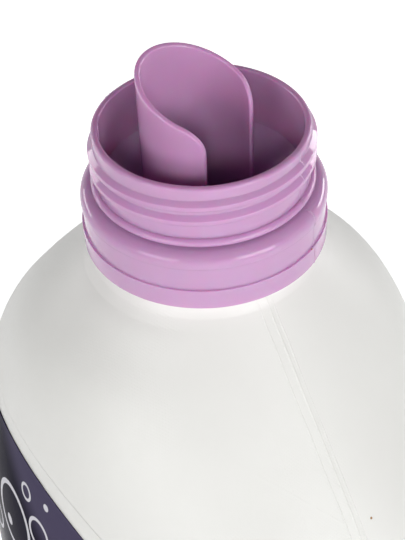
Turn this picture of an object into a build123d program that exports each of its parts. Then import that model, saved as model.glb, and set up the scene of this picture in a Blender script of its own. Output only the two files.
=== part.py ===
"""Opened laundry detergent bottle: an oval blow-moulded bottle, the pouring fitment snapped on its neck
and the film label on its front.

Millimetres, +Z up. The origin is the middle of the standing face. +X runs along the long axis of the
oval, in the plane where the two halves of the bottle's mould meet. The label faces -Y.
"""
import os
from math import asin, atan2, cos, degrees, radians, sin, sqrt, tan

from build123d import *

os.makedirs("parts", exist_ok=True)

# Bottle
body_width = 154.0
body_depth = 119.0
rim_height = 250.0
wall = 1.2
side_angle = 43.3
side_round = 55.0
front_angle = 46.3
front_round = 37.0
front_lean = 17.0
belly_round = 275.0
shoulder_sections = 25
flare_run = 3.1
neck_round = 5.0
heel_round = 7.0
standing_width = 9.0
push_up = 4.0
push_up_run = 6.0
pinch_rib_width = 1.6
pinch_rib_height = 0.6

# Label panel and label
panel_recess = 0.6
panel_side_margin = 17.0
panel_bottom = 22.0
panel_drop = 69.6
panel_arch = 85.0
panel_corner = 14.0
label_film = 0.2
label_glue = 0.1
label_side_margin = 4.0
label_top_margin = 5.5
label_corner = 10.0

# Pouring fitment: threaded wall above the shoulder
upper_wall = 1.5
rim_outer_round = 0.7
rim_inner_round = 0.4
thread_height = 1.1
thread_pitch = 3.5
thread_base_width = 2.8
thread_crest_width = 0.9
thread_turns = 1.95
thread_start_drop = 8.7
thread_start_angle = 221.0
thread_fade_angle = 40.0
thread_sink = 0.3

# Pouring fitment: bead, shoulder and skirt
bead_drop = 13.1
bead_half_height = 0.8
bead_height = 1.2
shoulder_drop = 14.2
shoulder_corner = 2.4
shoulder_land = 0.8
collar_diameter = 53.4
skirt_wall = 1.9
collar_recess = 0.25
band_drop = 23.0
band_proud = 0.2
band_round = 0.4
collar_drop = 27.9

# Pouring fitment: gutter and spout
gutter_depth = 13.0
gutter_floor = 1.3
gutter_slope = 38.0
plug_drop = 21.0
spout_diameter = 24.8
spout_wall = 1.15
spout_offset = 0.7
spout_angle = 28.0
spout_edge_round = 0.35
lip_rise = 13.0
lip_slope = 23.6
slot_reach = 7.5
slot_round = 7.0

# Neck of the bottle inside the fitment's skirt
neck_wall = 1.6
neck_clearance = 0.15
seat_drop = 16.6
snap_height = 0.6
snap_width = 1.8
snap_rise = 1.6
collar_gap = 0.5

# Sizes that the pieces share
half_width = body_width / 2
half_depth = body_depth / 2
collar_radius = collar_diameter / 2
band_radius = collar_radius + band_proud
skirt_inner = collar_radius - skirt_wall
neck_outer = skirt_inner - neck_clearance
neck_inner = neck_outer - neck_wall
root_radius = neck_inner - neck_clearance
bore_radius = root_radius - upper_wall
snap_radius = neck_outer + snap_height
seat_z = rim_height - seat_drop
collar_bottom = rim_height - collar_drop
snap_z = collar_bottom + snap_rise
spout_radius = spout_diameter / 2
spout_bore = spout_radius - spout_wall
panel_width = body_width - 2 * panel_side_margin
panel_top = rim_height - panel_drop

# The neck leaves the collar upright, turns outwards in an arc and runs down the shoulder's slope
slope = radians(side_angle)
flare_radius = neck_outer + flare_run
arc_fall = neck_round * sin(slope)
slope_fall = (flare_run - neck_round * (1 - cos(slope))) / tan(slope)
flare_z = collar_bottom - collar_gap - arc_fall - slope_fall

# The walls below the flare: half axis at the base, slope of the shoulder, round under it, lean at its end
side_wall = (half_width, slope, side_round, 0)
front_wall = (half_depth, radians(front_angle), front_round, radians(front_lean))


def wall_marks(wall_shape):
    """Half axis and depth below the flare at the slope's end, the lean's start and the upright wall."""
    reach, angle, turn, lean = wall_shape
    lean_axis = reach - belly_round * (1 - cos(lean))
    arc = min(turn, (lean_axis - flare_radius) / (cos(lean) - cos(angle)))
    slope_axis = lean_axis - arc * (cos(lean) - cos(angle))
    slope_depth = (slope_axis - flare_radius) / tan(angle)
    lean_depth = slope_depth + arc * (sin(angle) - sin(lean))
    upright_depth = lean_depth + belly_round * sin(lean)
    return (slope_axis, slope_depth), (lean_axis, lean_depth), (reach, upright_depth)


def half_axis(depth, wall_shape, inset):
    """Half axis of the oval at a depth below the flare: straight slope, round shoulder, long belly."""
    angle = wall_shape[1]
    lean = wall_shape[3]
    slope_end, lean_end, upright = wall_marks(wall_shape)
    if depth <= slope_end[1]:
        tilt = angle
        axis = flare_radius + depth * tan(angle)
    elif depth <= lean_end[1]:
        arc = (lean_end[1] - slope_end[1]) / (sin(angle) - sin(lean))
        tilt = asin(sin(angle) - (depth - slope_end[1]) / arc)
        axis = slope_end[0] + arc * (cos(tilt) - cos(angle))
    elif depth < upright[1]:
        tilt = asin((upright[1] - depth) / belly_round)
        axis = lean_end[0] + belly_round * (cos(tilt) - cos(lean))
    else:
        tilt = 0
        axis = upright[0]
    return axis - inset / cos(min(tilt, slope))


shoulder_fall = max(wall_marks(side_wall)[-1][1], wall_marks(front_wall)[-1][1])
shoulder_z = flare_z - shoulder_fall


def oval_section(height, half_x, half_y):
    """A level section of the body: two half ovals that meet on the mould's parting plane."""
    with BuildSketch(Plane.XY.offset(height)) as section:
        with BuildLine():
            EllipticalCenterArc((0, 0), half_x, half_y, 0, arc_size=180)
            EllipticalCenterArc((0, 0), half_x, half_y, 180, arc_size=180)
        make_face()
    return section.sketch


def oval_body(inset):
    """The bottle's outside below the flare, brought in by the inset all round and at the base."""
    sections = []
    for index in range(shoulder_sections):
        depth = shoulder_fall * index / (shoulder_sections - 1)
        axes = half_axis(depth, side_wall, inset), half_axis(depth, front_wall, inset)
        sections.append(oval_section(flare_z - depth, *axes))
    with BuildPart() as body:
        loft(sections)
        extrude(oval_section(inset, half_width - inset, half_depth - inset), amount=shoulder_z - inset)
        fillet(body.edges().group_by(Axis.Z)[0], heel_round - inset)
    return body.part


def raised_base(grow):
    """The hollow under the base, or with growth the boss that it makes inside the bottle."""
    inner = heel_round + standing_width - grow
    with BuildPart() as block:
        with BuildSketch(Plane.XY):
            Ellipse(half_width - inner, half_depth - inner)
        with BuildSketch(Plane.XY.offset(push_up + grow)):
            Ellipse(half_width - inner - push_up_run, half_depth - inner - push_up_run)
        loft(ruled=True)
    return block.part


def neck_outline(radius, inset, top):
    """Half section of the neck and its flare, from the axis out to one face of the wall."""
    turn = neck_round + inset
    flare = flare_radius - inset / cos(slope)
    slope_start = radius + turn * (1 - cos(slope))
    arc_end = flare_z + (flare - slope_start) / tan(slope)
    arc_start = arc_end + turn * sin(slope)
    with BuildLine() as outline:
        Polyline((flare, flare_z), (0, flare_z), (0, top), (radius, top), (radius, arc_start))
        RadiusArc((radius, arc_start), (slope_start, arc_end), -turn)
        Line((slope_start, arc_end), (flare, flare_z))
    return outline.line


def arched_outline(width, bottom, top, arch):
    """Outline of the panel or the label, seen from the front: straight sides and an arched top."""
    side_top = top - arch + sqrt(arch**2 - (width / 2) ** 2)
    with BuildLine() as outline:
        Polyline((-width / 2, side_top), (-width / 2, bottom), (width / 2, bottom), (width / 2, side_top))
        ThreePointArc((width / 2, side_top), (0, top), (-width / 2, side_top))
    return outline.line


# Cutter for a label panel: a block before the body whose inner face is the panel's floor
with BuildPart() as panel_cutter:
    with BuildSketch(Plane.XZ) as panel_face:
        add(arched_outline(panel_width, panel_bottom, panel_top, panel_arch))
        make_face()
        fillet(panel_face.vertices(), panel_corner)
    extrude(amount=body_depth)
    add(oval_body(panel_recess), mode=Mode.SUBTRACT)

# Hollow of the bottle: the inside of the body and neck, clear of the raised base
with BuildPart() as hollow:
    add(oval_body(wall))
    with BuildSketch(Plane.XZ):
        add(neck_outline(neck_inner, wall, seat_z + neck_wall))
        make_face()
    revolve(axis=Axis.Z)
    add(raised_base(wall), mode=Mode.SUBTRACT)

# Bottle: blown in one piece, with a panel on each face, a raised base and the snap bead of the neck
with BuildPart() as bottle:
    add(oval_body(0))
    with BuildSketch(Plane.XZ):
        add(neck_outline(neck_outer, 0, seat_z))
        make_face()
    revolve(axis=Axis.Z)
    with BuildSketch(Plane.XZ):
        with BuildLine():
            Polyline(
                (neck_outer - neck_wall / 2, snap_z + snap_width / 2 + snap_height),
                (neck_outer, snap_z + snap_width / 2 + snap_height),
                (snap_radius, snap_z + snap_width / 2),
                (snap_radius, snap_z - snap_width / 2),
                (neck_outer - neck_wall / 2, snap_z - snap_width / 2),
                close=True,
            )
        make_face()
    revolve(axis=Axis.Z)
    add(hollow.part, mode=Mode.SUBTRACT)
    add(raised_base(0), mode=Mode.SUBTRACT)
    with BuildSketch(Plane.XY.offset(push_up - pinch_rib_height)):
        inner = heel_round + standing_width + push_up_run
        Rectangle(2 * (half_width - inner), pinch_rib_width)
    extrude(amount=pinch_rib_height + wall / 2)
    add(panel_cutter.part, mode=Mode.SUBTRACT)
    mirror(panel_cutter.part, about=Plane.XZ, mode=Mode.SUBTRACT)
bottle.part.label = "bottle"
export_step(bottle.part, "parts/bottle.step")

# Front label: a film glued on the floor of the front panel
with BuildPart() as front_label:
    with BuildSketch(Plane.XZ) as label_face:
        label_width = panel_width - 2 * label_side_margin
        label_top = panel_top - label_top_margin
        label_arch = panel_arch - label_top_margin
        add(arched_outline(label_width, panel_bottom + label_side_margin, label_top, label_arch))
        make_face()
        fillet(label_face.vertices(), label_corner)
    extrude(amount=body_depth)
    add(oval_body(panel_recess - label_glue - label_film), mode=Mode.INTERSECT)
    add(oval_body(panel_recess - label_glue), mode=Mode.SUBTRACT)
front_label.part.label = "front_label"
export_step(front_label.part, "parts/front_label.step")

# One end of the thread, running out into the wall, made at the thread's own start
fade_height = thread_pitch * thread_fade_angle / 360
fade_cone = degrees(atan2(thread_height + thread_sink, fade_height))


def thread_section(start):
    """Trapezoid of the thread, in the plane through the axis, its flanks running on into the wall."""
    crest = thread_crest_width / 2
    flank = (thread_base_width - thread_crest_width) / 2 / thread_height
    root = crest + flank * (thread_height + thread_sink)
    with BuildSketch(start) as section:
        with BuildLine():
            Polyline(
                (-thread_sink, -root),
                (thread_height, -crest),
                (thread_height, crest),
                (-thread_sink, root),
                close=True,
            )
        make_face()
    return section.sketch


thread_start = Plane(origin=(root_radius, 0, 0), x_dir=(1, 0, 0), z_dir=(0, -1, 0))
with BuildPart() as thread_end:
    fade_pitch = thread_pitch / cos(radians(fade_cone))
    fade_path = Helix(fade_pitch, fade_height, root_radius, cone_angle=-fade_cone, mode=Mode.PRIVATE)
    sweep(thread_section(thread_start), fade_path, is_frenet=True)

# The thread: nearly two turns, with a run-out at each end
with BuildPart() as thread:
    thread_rise = thread_turns * thread_pitch
    thread_path = Helix(thread_pitch, thread_rise, root_radius, mode=Mode.PRIVATE)
    sweep(thread_section(thread_start), thread_path, is_frenet=True)
    add(thread_end.part, rotation=(180, 0, 0))
    with Locations((0, 0, thread_rise)):
        add(thread_end.part, rotation=(0, 0, 360 * thread_turns))

# Spout: a tube open at one side, its rim sloping from a high lip down to the slot
lip_z = rim_height + lip_rise
slot_corner_z = lip_z - (spout_radius + slot_reach) * tan(radians(lip_slope))
floor_fall = tan(radians(gutter_slope))
floor_z = rim_height - gutter_depth
floor_axis_z = floor_z - bore_radius * floor_fall
slot_direction = Vector(1, 0, 0).rotate(Axis.Z, spout_angle)
across_slot = Vector(0, -1, 0).rotate(Axis.Z, spout_angle)
spout_centre = slot_direction * -spout_offset
spout_foot = Plane(origin=spout_centre + (0, 0, floor_axis_z - gutter_floor), x_dir=slot_direction)
with BuildPart() as spout:
    with BuildSketch(spout_foot):
        Circle(spout_radius)
        Circle(spout_bore, mode=Mode.SUBTRACT)
    extrude(amount=lip_z - floor_axis_z + gutter_floor)
    with BuildSketch(Plane(origin=spout_centre, x_dir=slot_direction, z_dir=across_slot)) as side_view:
        with BuildLine():
            Polyline(
                (-spout_radius, floor_axis_z - gutter_floor),
                (slot_reach, floor_axis_z - gutter_floor),
                (slot_reach, slot_corner_z),
                (-spout_radius, lip_z),
                close=True,
            )
        make_face()
        fillet(side_view.vertices().group_by(Axis.Y)[-2], slot_round)
    extrude(amount=spout_radius, both=True, mode=Mode.INTERSECT)
    rim_curves = spout.edges().filter_by(GeomType.LINE, reverse=True) - spout.edges().group_by(Axis.Z)[0]
    fillet(rim_curves + spout.edges().filter_by(Axis.Z), spout_edge_round)

# Pouring fitment: one moulding of skirt, threaded wall, plug, gutter floor and spout
with BuildPart() as pour_fitment:
    bead_z = rim_height - bead_drop
    ledge_z = rim_height - band_drop
    shoulder_top = rim_height - shoulder_drop
    plug_bottom = rim_height - plug_drop
    with BuildSketch(Plane.XZ):
        with BuildLine():
            Polyline(
                (root_radius, bead_z + bead_half_height),
                (root_radius, rim_height),
                (bore_radius, rim_height),
                (bore_radius, floor_z),
                (0, floor_axis_z),
                (0, floor_axis_z - gutter_floor),
                (bore_radius, floor_z - gutter_floor),
                (bore_radius, plug_bottom),
                (root_radius, plug_bottom),
                (root_radius, seat_z),
                (skirt_inner, seat_z),
                (skirt_inner, snap_z + snap_width / 2 + snap_height + neck_clearance),
                (snap_radius + neck_clearance, snap_z + snap_width / 2 + neck_clearance),
                (snap_radius + neck_clearance, snap_z - snap_width / 2 - neck_clearance),
                (skirt_inner, snap_z - snap_width / 2 - neck_clearance),
                (skirt_inner, collar_bottom),
                (band_radius, collar_bottom),
                (band_radius, ledge_z),
                (collar_radius - collar_recess, ledge_z),
                (collar_radius - collar_recess, shoulder_top - shoulder_corner - shoulder_land),
                (collar_radius, shoulder_top - shoulder_corner - shoulder_land),
                (collar_radius, shoulder_top - shoulder_corner),
            )
            RadiusArc(
                (collar_radius, shoulder_top - shoulder_corner),
                (collar_radius - shoulder_corner, shoulder_top),
                -shoulder_corner,
            )
            Polyline(
                (collar_radius - shoulder_corner, shoulder_top),
                (root_radius, shoulder_top),
                (root_radius, bead_z - bead_half_height),
            )
            ThreePointArc(
                (root_radius, bead_z - bead_half_height),
                (root_radius + bead_height, bead_z),
                (root_radius, bead_z + bead_half_height),
            )
        make_face()
    revolve(axis=Axis.Z)
    rim_edges = pour_fitment.edges().group_by(Axis.Z)[-1].sort_by(SortBy.RADIUS)
    fillet(rim_edges[0], rim_inner_round)
    fillet(pour_fitment.edges().group_by(Axis.Z)[-1].sort_by(SortBy.RADIUS)[-1], rim_outer_round)
    fillet(pour_fitment.edges().group_by(Axis.Z)[0].sort_by(SortBy.RADIUS)[-1], band_round)
    with Locations((0, 0, rim_height - thread_start_drop)):
        add(thread.part, rotation=(0, 0, thread_start_angle))
    add(spout.part)
    with BuildSketch(spout_foot):
        Circle(spout_bore)
    extrude(amount=gutter_depth, mode=Mode.SUBTRACT)
pour_fitment.part.label = "pour_fitment"
export_step(pour_fitment.part, "parts/pour_fitment.step")
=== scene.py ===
from math import cos, pi, radians, sin

import bmesh
import bpy
from mathutils import Matrix, Vector


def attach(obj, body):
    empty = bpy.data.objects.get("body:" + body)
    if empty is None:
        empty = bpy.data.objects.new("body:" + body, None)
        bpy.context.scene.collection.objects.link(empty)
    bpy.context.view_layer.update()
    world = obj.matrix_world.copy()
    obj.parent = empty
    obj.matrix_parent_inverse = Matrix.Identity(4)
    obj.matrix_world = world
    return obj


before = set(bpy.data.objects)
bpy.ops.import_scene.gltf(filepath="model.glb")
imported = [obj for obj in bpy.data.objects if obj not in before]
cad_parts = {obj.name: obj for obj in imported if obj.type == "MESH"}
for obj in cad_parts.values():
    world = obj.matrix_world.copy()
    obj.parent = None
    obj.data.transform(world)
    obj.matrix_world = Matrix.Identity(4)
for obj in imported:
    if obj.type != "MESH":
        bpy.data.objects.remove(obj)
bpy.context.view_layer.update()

# Bottle: one hollow blow moulding of white polyethylene with a satin skin. The steel mould leaves
# its machining hatch, a few long tool lines and a soft orange peel in the plastic, and hairs of
# flash where its halves and inserts meet.

def start_material(name):
    """A material with its nodes, its links and its Principled shader."""
    material = bpy.data.materials.new(name)
    material.use_nodes = True
    tree = material.node_tree
    return material, tree.nodes, tree.links, tree.nodes["Principled BSDF"]


def start_group(name, vectors, numbers, output):
    """A shader group with its inputs, one output and the piece's own coordinates."""
    group = bpy.data.node_groups.new(name, "ShaderNodeTree")
    for socket in vectors:
        group.interface.new_socket(socket, in_out="INPUT", socket_type="NodeSocketVector")
    for socket in numbers:
        group.interface.new_socket(socket, in_out="INPUT", socket_type="NodeSocketFloat")
    group.interface.new_socket(output, in_out="OUTPUT", socket_type="NodeSocketFloat")
    given = group.nodes.new("NodeGroupInput")
    made = group.nodes.new("NodeGroupOutput")
    place = group.nodes.new("ShaderNodeTexCoord")
    return group, group.nodes, group.links, given.outputs, made.inputs[output], place.outputs["Object"]


def reckoned(nodes, links, operation, *values):
    """A Math node on links and plain numbers."""
    node = nodes.new("ShaderNodeMath")
    node.operation = operation
    for socket, value in zip(node.inputs, values):
        if isinstance(value, (int, float)):
            socket.default_value = value
        else:
            links.new(value, socket)
    return node.outputs["Value"]


def vector_reckoned(nodes, links, operation, first, second):
    """A Vector Math node on two vectors, whose result is a number for a dot product or length."""
    node = nodes.new("ShaderNodeVectorMath")
    node.operation = operation
    for socket, value in zip(node.inputs, (first, second)):
        if isinstance(value, tuple):
            socket.default_value = value
        elif value is not None:
            links.new(value, socket)
    return node.outputs["Value" if operation in ("DOT_PRODUCT", "LENGTH") else "Vector"]


def faded(nodes, links, value, near, far, low, high):
    """A value brought smoothly from one range to another."""
    spread = nodes.new("ShaderNodeMapRange")
    spread.interpolation_type = "SMOOTHSTEP"
    for name, bound in (("From Min", near), ("From Max", far), ("To Min", low), ("To Max", high)):
        if isinstance(bound, (int, float)):
            spread.inputs[name].default_value = bound
        else:
            links.new(bound, spread.inputs[name])
    links.new(value, spread.inputs["Value"])
    return spread.outputs["Result"]


# Soft noise whose marks have a size along each axis
noise_group, nodes, links, given, made, place = start_group(
    "surface_noise", ["Size", "Turn"], ["Detail"], "Value"
)
laid = nodes.new("ShaderNodeMapping")
laid.vector_type = "TEXTURE"
noise = nodes.new("ShaderNodeTexNoise")
noise.inputs["Scale"].default_value = 1.0
links.new(place, laid.inputs["Vector"])
links.new(given["Size"], laid.inputs["Scale"])
links.new(given["Turn"], laid.inputs["Rotation"])
links.new(laid.outputs["Vector"], noise.inputs["Vector"])
links.new(given["Detail"], noise.inputs["Detail"])
links.new(noise.outputs["Fac"], made)

# Parallel tool marks across a direction, wandering a little
hatch_group, nodes, links, given, made, place = start_group(
    "tool_hatch", ["Across", "Wander"], ["Pitch"], "Height"
)
distance = vector_reckoned(nodes, links, "DOT_PRODUCT", place, given["Across"])
turns = reckoned(nodes, links, "DIVIDE", distance, given["Pitch"])
drift = nodes.new("ShaderNodeGroup")
drift.node_tree = noise_group
drift.inputs["Detail"].default_value = 1
links.new(given["Wander"], drift.inputs["Size"])
drift_turns = 3.0
phase = reckoned(nodes, links, "MULTIPLY_ADD", drift.outputs["Value"], drift_turns, turns)
links.new(reckoned(nodes, links, "SINE", reckoned(nodes, links, "MULTIPLY", phase, 2 * pi)), made)

# One long line where a tool path ended, straight across a point, fading at its ends
line_group, nodes, links, given, made, place = start_group(
    "tool_line", ["Point", "Across"], ["Width", "Reach"], "Height"
)
offset = vector_reckoned(nodes, links, "SUBTRACT", place, given["Point"])
distance = vector_reckoned(nodes, links, "DOT_PRODUCT", offset, given["Across"])
aside = reckoned(nodes, links, "ABSOLUTE", distance)
along = vector_reckoned(nodes, links, "LENGTH", offset, None)
ridge = faded(nodes, links, aside, 0.0, given["Width"], 1.0, 0.0)
full_part = reckoned(nodes, links, "MULTIPLY", given["Reach"], 0.7)
fade = faded(nodes, links, along, full_part, given["Reach"], 1.0, 0.0)
links.new(reckoned(nodes, links, "MULTIPLY", ridge, fade), made)

# A burnt speck in the plastic
speck_group, nodes, links, given, made, place = start_group("speck", ["Point"], ["Radius"], "Mask")
offset = vector_reckoned(nodes, links, "SUBTRACT", place, given["Point"])
reach = vector_reckoned(nodes, links, "LENGTH", offset, None)
core = reckoned(nodes, links, "MULTIPLY", given["Radius"], 0.6)
links.new(faded(nodes, links, reach, core, given["Radius"], 1.0, 0.0), made)


def grouped(nodes, group, **values):
    """A copy of a shader group with its inputs set, as its output."""
    node = nodes.new("ShaderNodeGroup")
    node.node_tree = group
    for name, value in values.items():
        node.inputs[name].default_value = value
    return node.outputs[0]


def blended(nodes, links, factor, first, second):
    """One colour over another, by a factor."""
    mix = nodes.new("ShaderNodeMix")
    mix.data_type = "RGBA"
    links.new(factor, mix.inputs["Factor"])
    for name, colour in (("A", first), ("B", second)):
        if isinstance(colour, tuple):
            mix.inputs[name].default_value = (*colour, 1)
        else:
            links.new(colour, mix.inputs[name])
    return mix.outputs["Result"]


def bumped(nodes, links, layers, eased):
    """A bump from heights and their real depths in metres, over edges eased by a radius."""
    total = 0.0
    for height, depth in layers:
        total = reckoned(nodes, links, "MULTIPLY_ADD", height, depth, total)
    edges = nodes.new("ShaderNodeBevel")
    edges.samples = 6
    edges.inputs["Radius"].default_value = eased
    bump = nodes.new("ShaderNodeBump")
    bump.inputs["Distance"].default_value = 1.0
    links.new(total, bump.inputs["Height"])
    links.new(edges.outputs["Normal"], bump.inputs["Normal"])
    return bump.outputs["Normal"]


white_plastic, nodes, links, shader = start_material("white_polyethylene")
mottle = grouped(nodes, noise_group, Size=(0.016, 0.016, 0.025), Detail=4)
tint = blended(nodes, links, mottle, (0.80, 0.795, 0.765), (0.84, 0.838, 0.81))
burnt = grouped(nodes, speck_group, Point=(0.0604, 0.004, 0.1815), Radius=0.00035)
links.new(blended(nodes, links, burnt, tint, (0.32, 0.17, 0.06)), shader.inputs["Base Color"])
peel = grouped(nodes, noise_group, Size=(0.0011, 0.0011, 0.0018), Detail=2)
sag = grouped(nodes, noise_group, Size=(0.012, 0.012, 0.02), Detail=1)
patch = grouped(nodes, noise_group, Size=(0.03, 0.022, 0.03), Detail=1)
hatched = faded(nodes, links, patch, 0.42, 0.58, 0.0, 1.0)
drift_size = (0.01, 0.01, 0.03)
steep_hatch = grouped(nodes, hatch_group, Across=(0.235, 0.94, -0.249), Wander=drift_size, Pitch=0.0005)
cross_hatch = grouped(nodes, hatch_group, Across=(-0.393, 0.819, 0.418), Wander=drift_size, Pitch=0.0006)
both_ways = reckoned(nodes, links, "ADD", steep_hatch, cross_hatch)
hatch = reckoned(nodes, links, "MULTIPLY", both_ways, hatched)
sag_depth, peel_depth, hatch_depth, line_depth = 0.00005, 0.000012, 0.000004, 0.00002
layers = [(sag, sag_depth), (peel, peel_depth), (hatch, hatch_depth)]
for point, across in [
    ((0.0504, -0.0101, 0.191), (0.117, 0.993, 0.065)),
    ((0.0532, -0.0087, 0.188), (-0.5, 0.79, 0.353)),
]:
    tool_line = grouped(nodes, line_group, Point=point, Across=across, Width=0.0003, Reach=0.014)
    layers.append((tool_line, line_depth))
panel_edge_radius = 0.0006
links.new(bumped(nodes, links, layers, panel_edge_radius), shader.inputs["Normal"])
links.new(faded(nodes, links, peel, 0.3, 0.7, 0.36, 0.46), shader.inputs["Roughness"])
shader.inputs["IOR"].default_value = 1.5
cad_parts["bottle"].data.materials[0] = white_plastic


def sharp_edged(material, name):
    """A copy of a material for flash, which has sharp edges and is too thin to scatter light."""
    flash = material.copy()
    flash.name = name
    flash.node_tree.nodes["Principled BSDF"].inputs["Subsurface Weight"].default_value = 0.0
    for shading in flash.node_tree.nodes:
        if shading.bl_idname == "ShaderNodeBevel":
            shading.inputs["Radius"].default_value = 0.0
    return flash


collar_reach = 0.026
collar_skin = [v.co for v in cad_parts["pour_fitment"].data.vertices if v.co.xy.length > collar_reach]
collar_foot = min(point.z for point in collar_skin)


def parting_ridge(node, name, turn, offset, half_width, height, wander, span, reach):
    """A hair of flash on both sides, cut from the outer skin past a reach, between two heights."""
    away = Vector((cos(turn), sin(turn), 0))
    across = Vector((-sin(turn), cos(turn), 0))
    skin = bmesh.new()
    skin.from_mesh(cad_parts[node].data)
    bmesh.ops.remove_doubles(skin, verts=skin.verts, dist=1e-6)
    cuts = [
        (across * (offset - half_width), -across, True),
        (across * (offset + half_width), across, True),
        (across * offset, across, False),
        (Vector((0, 0, span[0])), Vector((0, 0, -1)), True),
        (Vector((0, 0, span[1])), Vector((0, 0, 1)), True),
    ]
    for point, normal, clear in cuts:
        everything = skin.verts[:] + skin.edges[:] + skin.faces[:]
        bmesh.ops.bisect_plane(
            skin, geom=everything, dist=1e-7, plane_co=point, plane_no=normal, clear_outer=clear
        )
    hidden = []
    for face in skin.faces:
        side = face.calc_center_median().dot(away)
        outward = face.normal.dot(away) * (1 if side > 0 else -1)
        underside = face.normal.z < -0.9 and abs(side) < collar_reach
        if abs(side) < reach or outward < -0.05 or underside:
            hidden.append(face)
    bmesh.ops.delete(skin, geom=hidden, context="FACES")
    bmesh.ops.remove_doubles(skin, verts=skin.verts, dist=1e-6)
    skin.normal_update()
    sunk = height / 4
    fine_wave, coarse_wave, bend, slow_bend = 2900, 1130, 700, 230
    for vertex in skin.verts:
        on_crest = abs(vertex.co.dot(across) - offset) < half_width / 2
        uneven = 0.75 + 0.25 * sin(vertex.co.z * fine_wave) * sin(vertex.co.z * coarse_wave)
        vertex.co += vertex.normal * (height * uneven if on_crest else -sunk)
        vertex.co += across * wander * sin(vertex.co.z * bend + 2 * sin(vertex.co.z * slow_bend))
    bmesh.ops.solidify(skin, geom=skin.faces[:], thickness=2 * height)
    bmesh.ops.remove_doubles(skin, verts=skin.verts, dist=1e-6)
    bmesh.ops.recalc_face_normals(skin, faces=skin.faces)
    for face in skin.faces:
        face.smooth = True
    mesh = bpy.data.meshes.new(name)
    skin.to_mesh(mesh)
    skin.free()
    ridge = bpy.data.objects.new(name, mesh)
    bpy.context.scene.collection.objects.link(ridge)
    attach(ridge, "root")
    return ridge


white_flash = sharp_edged(white_plastic, "white_polyethylene_flash")
heel_top = 0.008
seam_span = (heel_top, collar_foot)
seam_wander = 0.00008
neck_reach = 0.02
for name, offset, half_width, height in [
    ("bottle_parting_line", 0.0, 0.0003, 0.00022),
    ("bottle_insert_line", 0.0012, 0.00025, 0.00015),
    ("bottle_insert_line_front", -0.0021, 0.00025, 0.00011),
]:
    seam = parting_ridge(
        "bottle", name, 0.0, offset, half_width, height, seam_wander, seam_span, neck_reach
    )
    seam.data.materials.append(white_flash)

# Front label: a dark violet plastic film glued in the front panel, printed with pale bubbles over
# soft waves. Its lighter violet-grey upper field is a painted reflection standing in for the film's
# sheen, whose own reflection is kept very low. The film is satin and shows the slight ripple of its
# glue.

# A ring or, with a wide line, a disc, printed on the film as seen from the front
ring_group, nodes, links, given, made, place = start_group(
    "printed_ring", ["Centre"], ["Radius", "Line"], "Mask"
)
seen = vector_reckoned(nodes, links, "MULTIPLY", place, (1, 0, 1))
offset = vector_reckoned(nodes, links, "SUBTRACT", seen, given["Centre"])
reach = vector_reckoned(nodes, links, "LENGTH", offset, None)
aside = reckoned(nodes, links, "ABSOLUTE", reckoned(nodes, links, "SUBTRACT", reach, given["Radius"]))
half_line = reckoned(nodes, links, "DIVIDE", given["Line"], 2.0)
edge = reckoned(nodes, links, "SUBTRACT", aside, half_line)
ink_spread = 0.00008
links.new(faded(nodes, links, edge, -ink_spread, ink_spread, 1.0, 0.0), made)

# All that lies below a wavy edge across the film
wave_group, nodes, links, given, made, place = start_group(
    "printed_wave", [], ["Level", "Swell", "Length", "Shift", "Blur"], "Mask"
)
apart = nodes.new("ShaderNodeSeparateXYZ")
links.new(place, apart.inputs["Vector"])
turns = reckoned(nodes, links, "DIVIDE", apart.outputs["X"], given["Length"])
phase = reckoned(nodes, links, "MULTIPLY", reckoned(nodes, links, "ADD", turns, given["Shift"]), 2 * pi)
swing = reckoned(nodes, links, "SINE", phase)
crest = reckoned(nodes, links, "MULTIPLY_ADD", swing, given["Swell"], given["Level"])
above = reckoned(nodes, links, "SUBTRACT", apart.outputs["Z"], crest)
links.new(faded(nodes, links, above, 0.0, given["Blur"], 1.0, 0.0), made)

label_plastic, nodes, links, shader = start_material("label_film_print_and_painted_reflection")
ink_and_sheen_mottle = grouped(nodes, noise_group, Size=(0.05, 0.05, 0.05), Detail=2)
# Painted reflection: the lighter violet-grey field left above the top wave stands in for the film's
# sheen; the waves below it and the bubbles are print.
print_and_reflection_colour = blended(nodes, links, ink_and_sheen_mottle, (0.07, 0.06, 0.11), (0.09, 0.078, 0.135))
for level, swell, length, shift, blur, colour in [
    (0.16, 0.012, 0.12, 0.5, 0.012, (0.008, 0.006, 0.02)),
    (0.118, 0.008, 0.09, 0.15, 0.0002, (0.075, 0.06, 0.13)),
    (0.1165, 0.008, 0.09, 0.15, 0.0002, (0.03, 0.02, 0.065)),
    (0.098, 0.009, 0.11, 0.3, 0.0002, (0.42, 0.2, 0.42)),
    (0.093, 0.009, 0.11, 0.34, 0.0002, (0.27, 0.12, 0.29)),
    (0.06, 0.007, 0.13, 0.1, 0.02, (0.1, 0.05, 0.14)),
]:
    wave = grouped(nodes, wave_group, Level=level, Swell=swell, Length=length, Shift=shift, Blur=blur)
    print_and_reflection_colour = blended(nodes, links, wave, print_and_reflection_colour, colour)
bubbles = 0.0
for across, up, radius, line in [
    (-0.003, 0.151, 0.0092, 0.0014),
    (0.0105, 0.1585, 0.0042, 0.001),
    (0.0035, 0.1665, 0.0021, 0.0008),
    (0.0125, 0.1695, 0.0005, 0.001),
    (-0.017, 0.1385, 0.0048, 0.001),
    (0.011, 0.136, 0.0062, 0.0011),
    (-0.0055, 0.1475, 0.0008, 0.0016),
    (0.028, 0.146, 0.0085, 0.0013),
    (0.036, 0.158, 0.003, 0.0009),
    (-0.034, 0.15, 0.0075, 0.0012),
    (-0.03, 0.128, 0.0026, 0.0009),
]:
    ring = grouped(nodes, ring_group, Centre=(across, 0, up), Radius=radius, Line=line)
    bubbles = reckoned(nodes, links, "MAXIMUM", ring, bubbles)
links.new(blended(nodes, links, bubbles, print_and_reflection_colour, (0.72, 0.71, 0.76)), shader.inputs["Base Color"])
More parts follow.
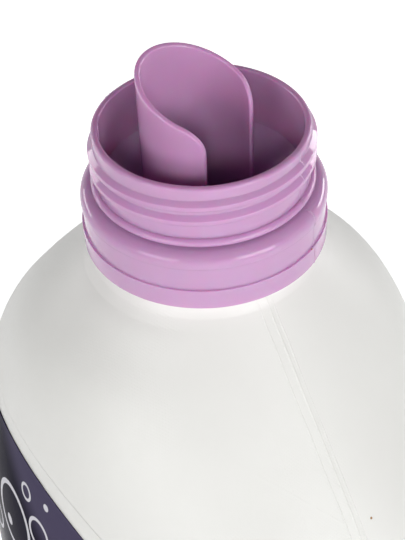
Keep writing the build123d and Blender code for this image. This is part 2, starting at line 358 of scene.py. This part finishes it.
ripple = grouped(nodes, noise_group, Size=(0.011, 0.011, 0.022), Detail=2)
ripple_depth, film_edge_radius = 0.00008, 0.0001
links.new(bumped(nodes, links, [(ripple, ripple_depth)], film_edge_radius), shader.inputs["Normal"])
links.new(faded(nodes, links, ink_and_sheen_mottle, 0.3, 0.7, 0.14, 0.2), shader.inputs["Roughness"])
# The film's own reflection is kept very low, and the painted reflection in the print above stands in for
# it.
shader.inputs["Specular IOR Level"].default_value = 0.003
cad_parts["front_label"].data.materials[0] = label_plastic

# Pouring fitment: one glossy lilac polypropylene moulding, snapped over the bottle's neck and
# plugged into it. Thin walls let some light through, its edges are slightly rounded, and two mould
# slides leave a line down each side.

lilac_plastic, nodes, links, shader = start_material("lilac_polypropylene")
cloud = grouped(nodes, noise_group, Size=(0.014, 0.014, 0.014), Detail=3)
tint = blended(nodes, links, cloud, (0.54, 0.305, 0.525), (0.58, 0.345, 0.567))
burnt = grouped(nodes, speck_group, Point=(0.02399, 0.01198, 0.227), Radius=0.0003)
links.new(blended(nodes, links, burnt, tint, (0.36, 0.16, 0.08)), shader.inputs["Base Color"])
links.new(faded(nodes, links, cloud, 0.3, 0.7, 0.03, 0.05), shader.inputs["Roughness"])
sink = grouped(nodes, noise_group, Size=(0.006, 0.006, 0.006), Detail=1)
sink_depth, fitment_edge_radius = 0.00002, 0.0003
links.new(bumped(nodes, links, [(sink, sink_depth)], fitment_edge_radius), shader.inputs["Normal"])
shader.inputs["IOR"].default_value = 1.5
shader.inputs["Subsurface Weight"].default_value = 0.8
shader.inputs["Subsurface Radius"].default_value = (1.0, 0.35, 0.6)
shader.inputs["Subsurface Scale"].default_value = 0.003
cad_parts["pour_fitment"].data.materials[0] = lilac_plastic

lilac_flash = sharp_edged(lilac_plastic, "lilac_polypropylene_flash")
slide_turn = radians(29.5)
slide_width, slide_height, slide_wander = 0.0003, 0.00013, 0.00012
slide_span = (collar_foot + 0.0001, 0.2515)
wall_reach = 0.0222
slide_line = parting_ridge(
    "pour_fitment", "fitment_parting_line", slide_turn, 0.0,
    slide_width, slide_height, slide_wander, slide_span, wall_reach,
)
slide_line.data.materials.append(lilac_flash)

# Studio: a white sweep of floor and walls under a dimmer ceiling, two soft boxes beside the camera,
# a fill above it and two low boxes behind. None of it belongs to the bottle.

floor_glow = 0.8
floor_size = 6.0
floor_shape = bmesh.new()
bmesh.ops.create_grid(floor_shape, x_segments=1, y_segments=1, size=floor_size / 2)
floor_mesh = bpy.data.meshes.new("studio_floor")
floor_shape.to_mesh(floor_mesh)
floor_shape.free()
floor = bpy.data.objects.new("studio_floor", floor_mesh)
bpy.context.scene.collection.objects.link(floor)
floor_paint, nodes, links, shader = start_material("studio_floor_white")
shader.inputs["Base Color"].default_value = (0.8, 0.8, 0.8, 1)
shader.inputs["Roughness"].default_value = 0.9
shader.inputs["Specular IOR Level"].default_value = 0.0
shader.inputs["Emission Color"].default_value = (1, 1, 1, 1)
path = nodes.new("ShaderNodeLightPath")
seen_through = path.outputs["Is Transmission Ray"]
direct = reckoned(nodes, links, "MAXIMUM", path.outputs["Is Camera Ray"], seen_through)
direct = reckoned(nodes, links, "MAXIMUM", direct, path.outputs["Is Glossy Ray"])
links.new(reckoned(nodes, links, "MULTIPLY", direct, floor_glow), shader.inputs["Emission Strength"])
floor.data.materials.append(floor_paint)

wall_level = 0.72
ceiling_level = 0.02
ceiling_mirrored = 0.03
world = bpy.data.worlds.new("studio_surround")
bpy.context.scene.world = world
world.use_nodes = True
nodes, links = world.node_tree.nodes, world.node_tree.links
way = nodes.new("ShaderNodeTexCoord")
apart = nodes.new("ShaderNodeSeparateXYZ")
links.new(way.outputs["Generated"], apart.inputs["Vector"])
fill = faded(nodes, links, apart.outputs["Z"], 0.15, 0.6, wall_level, ceiling_level)
mirrored = faded(nodes, links, apart.outputs["Z"], 0.1, 0.45, 1.0, ceiling_mirrored)
path = nodes.new("ShaderNodeLightPath")
seen_through = path.outputs["Is Transmission Ray"]
direct = reckoned(nodes, links, "MAXIMUM", path.outputs["Is Camera Ray"], seen_through)
glossy = reckoned(nodes, links, "MULTIPLY", path.outputs["Is Glossy Ray"], mirrored)
direct = reckoned(nodes, links, "MAXIMUM", direct, glossy)
nodes["Background"].inputs["Color"].default_value = (1, 1, 1, 1)
links.new(reckoned(nodes, links, "MAXIMUM", direct, fill), nodes["Background"].inputs["Strength"])

camera_turn = radians(61.36)
camera_dip = radians(42.132)
camera_roll = radians(-2.595)
camera_place = Vector((0.171098, -0.094675, 0.385537))
lit_point = Vector((0, 0, 0.22))
lamp_reach = 0.9


def soft_box(name, turn, lift, width, height, power):
    """A lamp aimed at the bottle's shoulder, its turn counted from the camera's side."""
    side = camera_turn + turn
    direction = Vector((sin(side) * cos(lift), -cos(side) * cos(lift), sin(lift)))
    lamp = bpy.data.lights.new(name, "AREA")
    lamp.shape = "RECTANGLE"
    lamp.size = width
    lamp.size_y = height
    lamp.energy = power
    light = bpy.data.objects.new(name, lamp)
    light.location = lit_point + direction * lamp_reach
    light.rotation_euler = direction.to_track_quat("Z", "Y").to_euler()
    light.visible_camera = False
    bpy.context.scene.collection.objects.link(light)
    return light


soft_box("left_soft_box", radians(-41), radians(20), 0.55, 0.45, 2.3)
soft_box("right_soft_box", radians(41), radians(16), 0.55, 0.45, 3.4)
front_fill = soft_box("front_fill", 0.0, radians(30), 0.15, 0.15, 2.0)
front_fill.visible_glossy = False
soft_box("left_back_box", radians(-125), radians(12), 0.4, 0.2, 0.9)
soft_box("right_back_box", radians(125), radians(12), 0.4, 0.2, 1.7)

# Camera: above the opened mouth, looking down on it past the label's edge, as the photograph does.
# The whole picture is sharp.

camera = bpy.data.cameras.new("camera")
camera.lens = 76.355
camera.sensor_width = 36
camera.clip_start = 0.01
camera_object = bpy.data.objects.new("camera", camera)
camera_object.matrix_world = (
    Matrix.Translation(camera_place)
    @ Matrix.Rotation(camera_turn, 4, "Z")
    @ Matrix.Rotation(pi / 2 - camera_dip, 4, "X")
    @ Matrix.Rotation(camera_roll, 4, "Z")
)
bpy.context.scene.collection.objects.link(camera_object)
bpy.context.scene.camera = camera_object
bpy.context.scene.view_settings.view_transform = "Standard"
